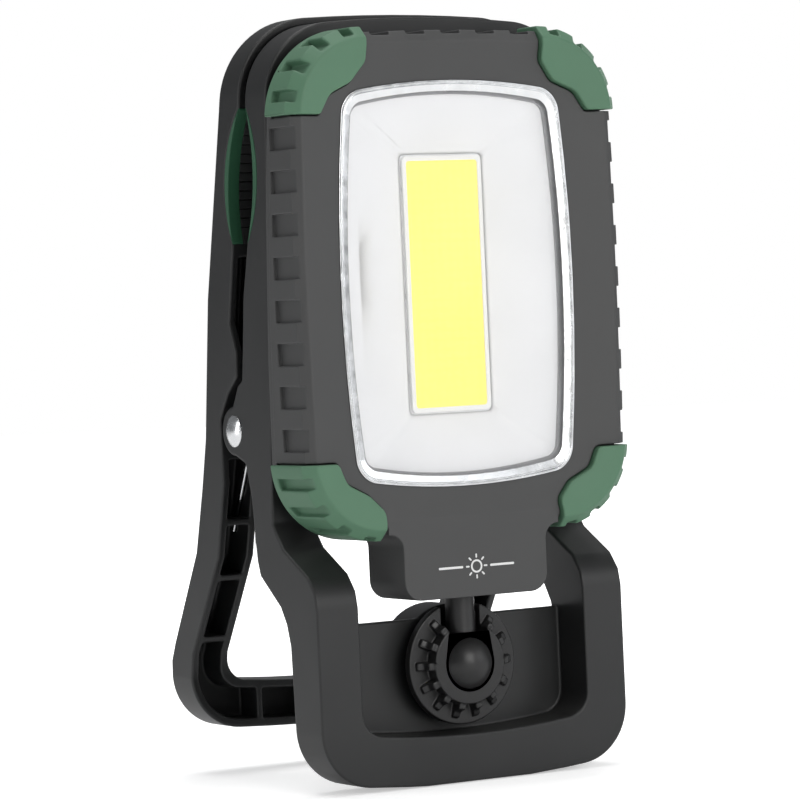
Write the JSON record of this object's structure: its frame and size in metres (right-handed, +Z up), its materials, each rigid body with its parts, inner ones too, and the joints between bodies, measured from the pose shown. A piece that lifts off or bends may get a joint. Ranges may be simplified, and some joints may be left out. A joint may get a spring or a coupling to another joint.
{
  "type": "work light",
  "caption": "Cordless work light: flat lamp head with rubber corners on a ball neck, held by a sprung two-frame clamp that is also its stand.",
  "frame": {"origin": "centre of the bounding box at its lowest level, which is the underside of the front loop", "axes": "+Z up along the front frame, the lamp shines towards -Y, +X to the lamp's own left-hand side as it faces away, so to the right when looking along +Y"},
  "size_m": [0.0922, 0.0788, 0.1856],
  "materials": {
    "frame_plastic": "fine-grained moulded nylon",
    "jaw_rubber": "smooth moulded",
    "grip_rubber": "toothed",
    "steel": "zinc bright",
    "knob_plastic": "satin",
    "neck_plastic": "satin",
    "nylon": "natural",
    "case_rubber": "soft-touch",
    "bumper_rubber": "matte moulded",
    "rim_chrome": "bright",
    "lens_clear": "clear polished",
    "gasket_rubber": "smooth",
    "reflector_white": "satin white",
    "phosphor": "silicone phosphor",
    "board_metal": "milled",
    "foam": "foam",
    "battery_film": "laminated film",
    "board_green": "solder mask",
    "port_steel": "plain",
    "button_rubber": "matte",
    "light_clear": "clear"
  },
  "bodies": {
    "front": {"front_frame": "frame_plastic", "front_jaw_pad_left": "jaw_rubber", "front_jaw_pad_right": "jaw_rubber", "front_jaw_grip_left": "grip_rubber", "front_jaw_grip_right": "grip_rubber", "hinge_rivet_left": "steel", "hinge_rivet_right": "steel", "hinge_spring_left": "steel", "hinge_spring_right": "steel", "knob_washer": "steel"},
    "rear": {"rear_frame": "frame_plastic", "rear_jaw_pad_left": "jaw_rubber", "rear_jaw_pad_right": "jaw_rubber", "rear_jaw_grip_left": "grip_rubber", "rear_jaw_grip_right": "grip_rubber"},
    "knob": {"knob": "knob_plastic", "ball_seat": "nylon", "seat_spring": "steel", "seat_plug": "knob_plastic", "knob_ring": "steel"},
    "neck": {"neck": "neck_plastic", "neck_clip": "steel"},
    "head": {"front_casing": "case_rubber", "back_cover": "case_rubber", "bumper_upper_left": "bumper_rubber", "bumper_upper_right": "bumper_rubber", "bumper_lower_left": "bumper_rubber", "bumper_lower_right": "bumper_rubber", "window_rim": "rim_chrome", "lens": "lens_clear", "lens_gasket": "gasket_rubber", "reflector": "reflector_white", "led_border": "reflector_white", "led_phosphor": "phosphor", "led_board": "board_metal", "heat_spreader": "board_metal", "battery_pad": "foam", "battery_cell": "battery_film", "driver_board": "board_green", "tact_switch": "port_steel", "charge_port": "port_steel", "case_screw_1": "steel", "case_screw_2": "steel", "case_screw_3": "steel", "case_screw_4": "steel", "charge_light_1": "light_clear", "charge_light_2": "light_clear", "charge_light_3": "light_clear", "charge_light_4": "light_clear", "swivel_bush": "nylon"},
    "button": {"power_button": "button_rubber"},
    "flap": {"port_flap": "button_rubber"}
  },
  "joints": [
    {"name": "clamp_hinge", "type": "hinge", "parent": "front", "child": "rear", "pos_m": [0, 0.0009, 0.086], "axis": [-1, 0, 0], "range_deg": [0, 20], "stiffness_Nm_per_rad": 0.35, "springref_deg": -28.65, "deforming": ["hinge_spring_left", "hinge_spring_right"]},
    {"name": "knob_turn", "type": "hinge", "parent": "front", "child": "knob", "pos_m": [0, -0.0295, 0.028], "axis": [0, -1, 0], "range_deg": [-2, 2]},
    {"name": "head_tilt", "type": "hinge", "parent": "knob", "child": "neck", "pos_m": [0, -0.0295, 0.028], "axis": [1, 0, 0], "range_deg": [0, 90]},
    {"name": "head_swivel", "type": "hinge", "parent": "neck", "child": "head", "pos_m": [0, -0.0295, 0.05], "axis": [0, 0, 1], "range_deg": [-2, 2]},
    {"name": "button_press", "type": "slide", "parent": "head", "child": "button", "axis": [0, -1, 0], "range_m": [0, 0.0005], "stiffness_N_per_m": 800, "springref_m": -0.0002},
    {"name": "flap_hinge", "type": "hinge", "parent": "head", "child": "flap", "pos_m": [-0.008, -0.01205, 0.089], "axis": [0, 0, 1], "range_deg": [0, 95]}
  ]
}
